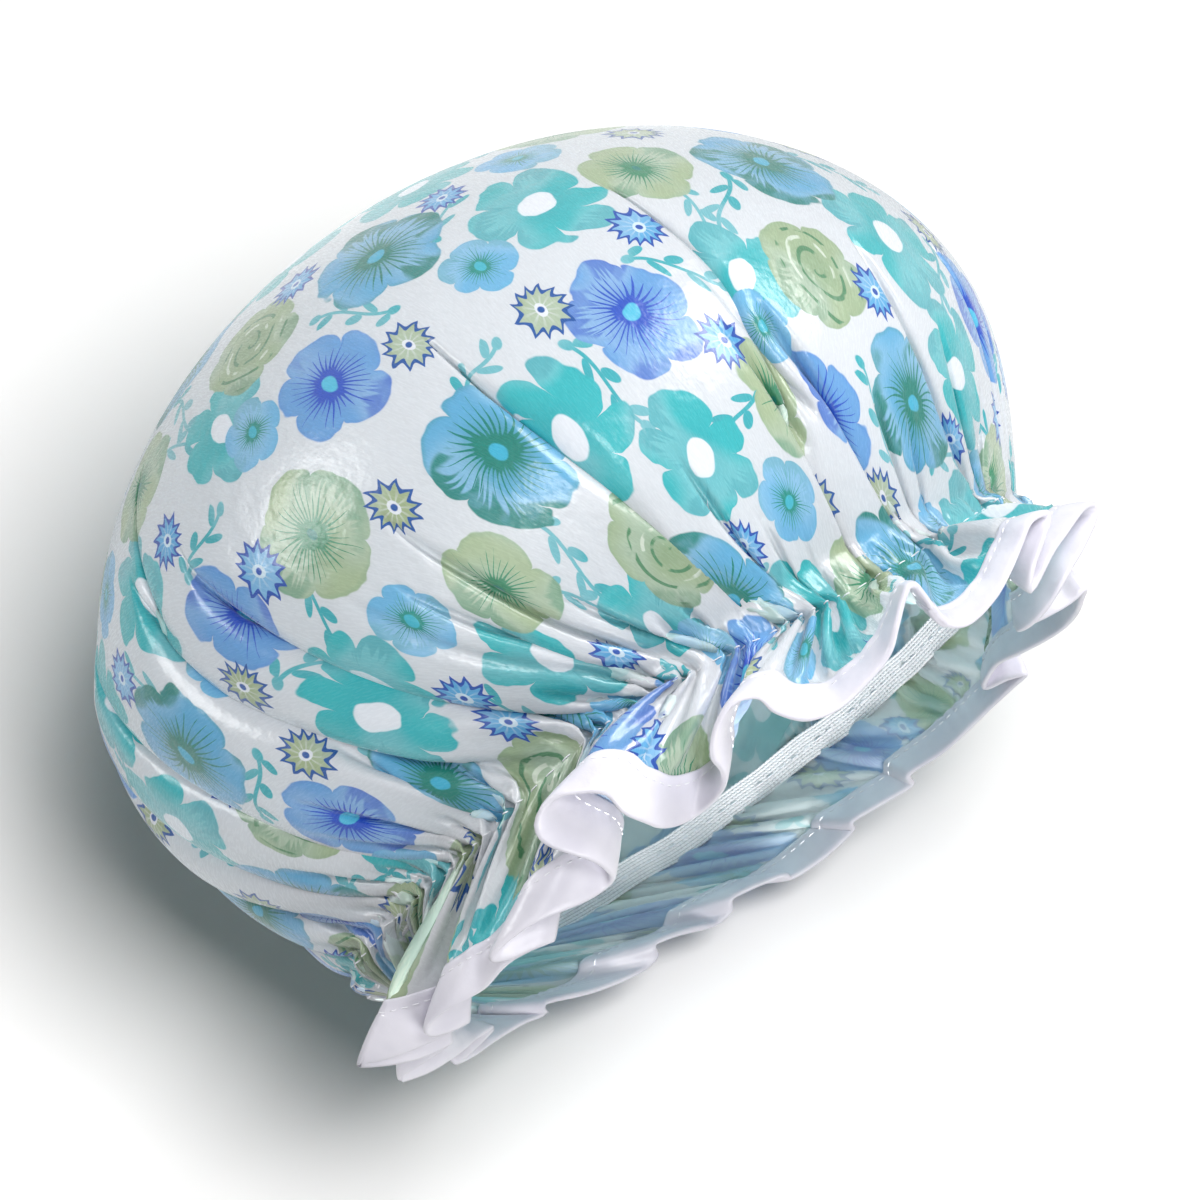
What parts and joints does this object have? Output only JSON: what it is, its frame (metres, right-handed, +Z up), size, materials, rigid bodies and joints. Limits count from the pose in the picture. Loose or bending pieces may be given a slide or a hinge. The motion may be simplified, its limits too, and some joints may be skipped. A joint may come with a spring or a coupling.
{
  "type": "shower cap",
  "caption": "Gathered cloth shower cap with a puffed crown, an elastic gather line, a wavy frill with a bound edge and a waterproof lining.",
  "frame": {"origin": "on the floor, under the middle of the cap as it lies on its side", "axes": "+Z up; +Y from the mouth towards the top of the crown, which is tilted up 9.3 degrees from it; +X across the cap"},
  "size_m": [0.2202, 0.1834, 0.199],
  "materials": {
    "satin_cloth": "floral printed satin with a soft sheen",
    "lining_film": "thin milky film, the cloth's print shows through",
    "elastic": "white braided elastic, ribbed lengthwise",
    "binding_tape": "pale lilac-white satin tape",
    "thread": "white sewing thread"
  },
  "bodies": {
    "root": {"crown_cloth": "satin_cloth", "frill_cloth": "satin_cloth", "crown_lining": "lining_film", "frill_lining": "lining_film", "elastic_band": "elastic", "elastic_join_tack": "thread", "gather_seam_thread": "thread", "edge_binding": "binding_tape", "binding_seam_thread": "thread"}
  },
  "joints": []
}
